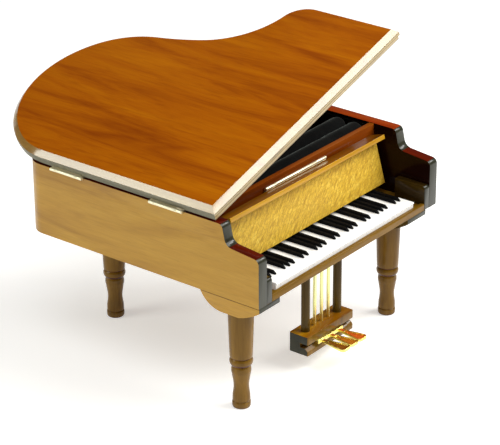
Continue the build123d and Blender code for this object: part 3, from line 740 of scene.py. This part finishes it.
def screw_blank():
    """A small slotted screw: its head's underside is at z = 0 and its shank goes down."""
    bm = bmesh.new()
    rings = []
    steps = 28
    for radius, height in ((0.02, -2.6), (0.3, -2.2), (0.45, -1.9), (0.45, 0), (0.85, 0), (0.85, 0.06),
                           (0.78, 0.13), (0.55, 0.18), (0.25, SCREW_HEAD), (0.02, SCREW_HEAD)):
        rings.append([bm.verts.new((radius * MM * cos(tau * k / steps),
                                    radius * MM * sin(tau * k / steps), height * MM))
                      for k in range(steps)])
    for low, high in zip(rings, rings[1:]):
        for k in range(steps):
            n = (k + 1) % steps
            bm.faces.new((low[k], low[n], high[n], high[k]))
    bm.faces.new(list(reversed(rings[0])))
    bm.faces.new(rings[-1])
    for x in (-0.13, -0.1, 0.1, 0.13):
        bmesh.ops.bisect_plane(bm, geom=bm.verts[:] + bm.edges[:] + bm.faces[:],
                               plane_co=(x * MM, 0, 0), plane_no=(1, 0, 0))
    slot_floor = 0.07 * MM
    for vert in bm.verts:
        if abs(vert.co.x) < 0.115 * MM and vert.co.z > slot_floor:
            vert.co.z = slot_floor
    return smooth(to_object("screw_blank", bm), 35)


def loose_parts(node):
    """The points of each separate solid in a node."""
    bm = merged_copy(node)
    left, groups = set(bm.verts), []
    while left:
        group, stack = [], [left.pop()]
        while stack:
            vert = stack.pop()
            group.append(vert.co.copy())
            for edge in vert.link_edges:
                other = edge.other_vert(vert)
                if other in left:
                    left.remove(other)
                    stack.append(other)
        groups.append(group)
    bm.free()
    return groups


def make_screws():
    """A slotted screw at each place where the CAD has one."""
    tree, keys = fixings_tree()
    screw = screw_blank()
    tilt = Matrix.Rotation(-LID_TILT, 3, "Y")
    lean = Matrix.Rotation(-FALL_LEAN, 3, "X")
    for node, body, outward in (("lid_hinge_screws_case", "case", UP),
                                ("lid_hinge_screws_lid", "lid", tilt @ -UP),
                                ("fallboard_hinge_screws_fixed", "case", Vector((0, -1, 0))),
                                ("fallboard_hinge_screws_moving", "fallboard", lean @ Vector((0, 1, 0)))):
        places = []
        for group in loose_parts(node):
            head = max(point.dot(outward) for point in group)
            across = sum(group, Vector()) / len(group)
            places.append(across + outward * (head - SCREW_HEAD * MM - across.dot(outward)))
        turn = UP.rotation_difference(outward).to_euler()
        obj = run_tree(node + "_finished", tree, keys,
                       {"Blank": screw, "Finish": LOOK["brass"], "Turn": tuple(turn)}, places)
        settle(obj, body, "brass", node)
    bpy.data.objects.remove(screw)


def key_row(node, bm, ease, start, count, sharps, look, slot):
    """A row of keys in place of a node, all copies of the one blank."""
    tree, keys = key_row_tree()
    key = soften(to_object(node + "_blank", bm), ease, 2, 30)
    obj = run_tree(node + "_finished", tree, keys, {
        "Count": count, "Start": tuple(start), "Pitch": (KEY_PITCH, 0, 0), "Sharps": sharps,
        "Blank": key, "Finish": LOOK[look], "Turn": (0, 0, 0)})
    settle(obj, "case", slot, node)
    bpy.data.objects.remove(key)


def make_keys():
    low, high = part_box("white_keys")
    depth, height = (high.y - low.y) / MM, (high.z - low.z) / MM
    white = [(0.6, 0), (0.6, height - 1.5), (0.05, height - 1.2), (0, height - 0.5),
             (0.12, height - 0.15), (0.5, height), (depth, height), (depth, 0)]
    key_row("white_keys", extruded(white, KEY_PITCH / MM / 2 - HALF_GROOVE), 0.16,
            Vector((low.x + KEY_PITCH / 2, low.y, low.z)), WHITE_KEYS, False, "white",
            "white_key_plastic")

    front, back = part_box("black_keys")
    rise, reach = (back.z - front.z) / MM, (back.y - front.y) / MM
    black = [(0, 0), (0, 0.5), (0.5, 1.0), (2.4, rise), (reach, rise), (reach, 0)]
    bm = extruded(black, 1.35)
    for vert in bm.verts:
        if vert.co.y < 1.2 * MM:
            vert.co.x *= 0.55
        if vert.co.z > 1.5 * MM:
            vert.co.x *= 0.78
    key_row("black_keys", bm, 0.14, Vector((low.x + KEY_PITCH, front.y, front.z)), WHITE_KEYS - 1,
            True, "black", "black_key_plastic")


# ---------------------------------------------------------------- hinges, fallboard and lid

def make_hinges():
    for node, body, ease in (("lid_hinge_leaf_case_front", "case", BRASS_EASE),
                             ("lid_hinge_leaf_lid_front", "lid", BRASS_EASE),
                             ("lid_hinge_pin_front", "case", FINE_EASE),
                             ("lid_hinge_leaf_case_rear", "case", BRASS_EASE),
                             ("lid_hinge_leaf_lid_rear", "lid", BRASS_EASE),
                             ("lid_hinge_pin_rear", "case", FINE_EASE),
                             ("fallboard_hinge_leaf_fixed", "case", BRASS_EASE),
                             ("fallboard_hinge_leaf_moving", "fallboard", BRASS_EASE),
                             ("fallboard_hinge_pin", "case", FINE_EASE)):
        refined(node, ease, ["brass"], "brass", body, angle=45)


def lip_face(centre, normal):
    """0 the lip's top, 1 its front and ends, whose eased arris carries a painted highlight."""
    return 0 if (Matrix.Rotation(FALL_LEAN, 3, "X") @ normal).z > 0.8 else 1


def make_fallboard():
    refined("fallboard_panel", BOARD_EASE, ["veneer"], "fallboard_wood", "fallboard")
    refined("fallboard_lip", WOOD_EASE, ["lip", "lip_front"], "fallboard_wood", "fallboard", segments=3,
            pick=lip_face)


def lid_face(centre, normal):
    """0 top, 1 bevel with a painted reflection, 2 spine side and tail edges with a painted reflection of
    the floor, 3 front edge with painted light and shade by height, 4 underside.
    """
    level = Matrix.Rotation(LID_TILT, 3, "Y") @ normal
    if level.z > 0.93:
        return 0
    if level.z > 0.3:
        return 1
    if level.z < -0.6:
        return 4
    return 3 if level.y < -0.7 else 2


def make_lid():
    refined("lid_board", LID_EASE, ["lid", "bevel", "lid_edge", "lid_front", "rail"], "lid_wood", "lid",
            pick=lid_face, segments=3, angle=25)


# ---------------------------------------------------------------- velvet

def finely_cut(bm, step):
    """Cuts the mesh by planes at an even step along all three axes."""
    for axis in range(3):
        values = [vert.co[axis] for vert in bm.verts]
        count = int((max(values) - min(values)) / step)
        for k in range(1, count + 1):
            at, heading = Vector(), Vector()
            at[axis] = min(values) + k * step
            heading[axis] = 1
            bmesh.ops.bisect_plane(bm, geom=bm.verts[:] + bm.edges[:] + bm.faces[:], dist=1e-7,
                                   plane_co=at, plane_no=heading)


def velvet_covered(node, step, seed):
    """A velvet-covered copy of a lining node: soft edges and a faintly uneven surface."""
    obj = soften(to_object(node + "_velvet", merged_copy(node)), LINING_EASE, 2, 40)
    bm = bmesh.new()
    bm.from_mesh(obj.data)
    finely_cut(bm, step)
    bm.normal_update()
    for vert in bm.verts:
        swell = noise.noise(vert.co * 160 + Vector((seed, 0, 0)))
        vert.co -= vert.normal * NAP_RISE * (0.5 + 0.5 * swell)
    bm.to_mesh(obj.data)
    bm.free()
    smooth(obj, 60)
    return settle(dress(obj, ["velvet"]), "case", "velvet", node)


def make_lining():
    floor = velvet_covered("lining_floor", 5 * MM, 3.0)
    wall = velvet_covered("lining_wall", 5 * MM, 7.0)
    velvet_covered("ring_tray", 4 * MM, 11.0)


def roll_cage(length, radius, seed):
    """A closed tube along x, narrowed towards its stitched ends, at the simulation's scale."""
    bm = bmesh.new()
    stations, steps = 110, 40
    rings = []
    for i in range(stations + 1):
        t = i / stations
        x = (t - 0.5) * length
        end = min(t, 1 - t) * length / radius
        full = (1 - (1 - min(1.0, end / 0.75)) ** 2.4) ** 0.5 if end < 0.75 else 1.0
        ring = []
        for k in range(steps):
            a = tau * k / steps
            dent = noise.noise(Vector((x * 9, cos(a) * 1.2 + seed, sin(a) * 1.2)))
            r = radius * max(0.12, full) * (0.93 + 0.035 * dent)
            ring.append(bm.verts.new((x, r * cos(a), r * sin(a))))
        rings.append(ring)
    for first, second in zip(rings, rings[1:]):
        for k in range(steps):
            n = (k + 1) % steps
            bm.faces.new((first[k], second[k], second[n], first[n]))
    for ring, way in ((rings[0], -1), (rings[-1], 1)):
        hub = bm.verts.new((ring[0].co.x - way * radius * 0.06, 0, 0))
        for k in range(steps):
            bm.faces.new((ring[k], ring[(k + 1) % steps], hub))
    bmesh.ops.recalc_face_normals(bm, faces=bm.faces)
    return bm


def plump(obj):
    """Fills the cover with air: a short cloth simulation without gravity."""
    pins = obj.vertex_groups.new(name="stitched")
    span = max(vert.co.x for vert in obj.data.vertices)
    pins.add([v.index for v in obj.data.vertices if abs(v.co.x) > span - 0.012], 1.0, "REPLACE")
    cloth = obj.modifiers.new("cover", "CLOTH")
    settings = cloth.settings
    settings.vertex_group_mass = "stitched"
    settings.quality = 6
    settings.tension_stiffness = settings.compression_stiffness = 12
    settings.bending_stiffness = 0.4
    settings.use_pressure = True
    settings.uniform_pressure_force = 4
    settings.effector_weights.gravity = 0
    cloth.point_cache.frame_start, cloth.point_cache.frame_end = 1, COVER_FRAMES
    for number in range(1, COVER_FRAMES + 1):
        SCENE.frame_set(number)
    bake_modifiers(obj)
    SCENE.frame_set(1)
    obj.vertex_groups.clear()
    return obj


def make_ring_roll(node, seed):
    """A padded roll: its cover is filled at the simulation's scale, then kept inside the CAD roll."""
    low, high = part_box(node)
    centre, length, radius = (low + high) / 2, high.x - low.x, (high.z - low.z) / 2
    obj = to_object(node + "_padded", roll_cage(length * SIM_SCALE, radius * SIM_SCALE, seed))
    plump(obj)
    for vert in obj.data.vertices:
        x, y, z = vert.co / SIM_SCALE
        x = max(-length / 2, min(length / 2, x))
        out = (y * y + z * z) ** 0.5
        share = min(1.0, radius * ROLL_INSET / out) if out > 0 else 1.0
        vert.co = centre + Vector((x, y * share, z * share))
    smooth(obj, 80)
    settle(dress(obj, ["velvet"]), "case", "velvet", node)
    return obj


# ---------------------------------------------------------------- studio

def aim_at(obj, place, target, roll=0.0):
    """Put a camera or lamp at a place, looking at the target with its top upwards."""
    back = (place - target).normalized()
    right = UP.cross(back).normalized()
    up = back.cross(right)
    right, up = cos(roll) * right + sin(roll) * up, cos(roll) * up - sin(roll) * right
    turn = Matrix((right, up, back)).transposed()
    obj.matrix_world = Matrix.Translation(place) @ turn.to_4x4()


def make_camera():
    data = bpy.data.cameras.new("camera")
    data.sensor_width = SENSOR
    data.lens = LENS
    data.clip_start, data.clip_end = 0.05, 40
    camera = bpy.data.objects.new("camera", data)
    SCENE.collection.objects.link(camera)
    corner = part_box("rim")[0]
    corner.z = 0
    aim_at(camera, corner + CAMERA_PLACE, corner + CAMERA_TARGET, CAMERA_ROLL)
    SCENE.camera = camera


def softbox(name, direction, distance, size, power, colour=(1, 1, 1)):
    data = bpy.data.lights.new(name, "AREA")
    data.shape = "RECTANGLE"
    data.size, data.size_y = size
    data.energy = power
    data.color = colour
    light = bpy.data.objects.new(name, data)
    SCENE.collection.objects.link(light)
    aim_at(light, LAMP_TARGET + Vector(direction).normalized() * distance, LAMP_TARGET)


def make_studio():
    bm = bmesh.new()
    bmesh.ops.create_grid(bm, x_segments=1, y_segments=1, size=4.0)
    floor = to_object("studio_floor", bm)
    made, _, shader = material("studio_floor_white")
    shader.inputs["Base Color"].default_value = (0.9, 0.9, 0.9, 1)
    shader.inputs["Roughness"].default_value = 0.9
    shader.inputs["Specular IOR Level"].default_value = 0.1
    shader.inputs["Emission Color"].default_value = (1, 1, 1, 1)
    shader.inputs["Emission Strength"].default_value = 0.46
    floor.data.materials.append(made)
    world = bpy.data.worlds.new("studio")
    world.use_nodes = True
    world.node_tree.nodes["Background"].inputs[0].default_value = (1, 0.95, 0.86, 1)
    world.node_tree.nodes["Background"].inputs[1].default_value = 0.1
    SCENE.world = world
    softbox("front_right_softbox", (0.367, -0.616, 0.694), 1.3, (0.75, 0.75), 13, (1, 0.99, 0.93))
    softbox("rear_left_softbox", (-0.75, 0.556, 0.349), 1.3, (0.6, 0.5), 5.2, (0.96, 1, 0.91))
    softbox("curve_softbox", (0.714, -0.426, 0.558), 1.3, (0.35, 0.35), 5)
    softbox("overhead_softbox", (-0.35, -0.25, 0.9), 1.5, (1.0, 1.0), 8)
    SCENE.view_settings.view_transform = "Standard"


make_camera()
make_studio()
make_case()
make_legs()
make_lyre()
make_keys()
make_screws()
make_hinges()
make_fallboard()
make_lid()
make_lining()
make_ring_roll("ring_roll_front", 2.0)
make_ring_roll("ring_roll_rear", 5.0)
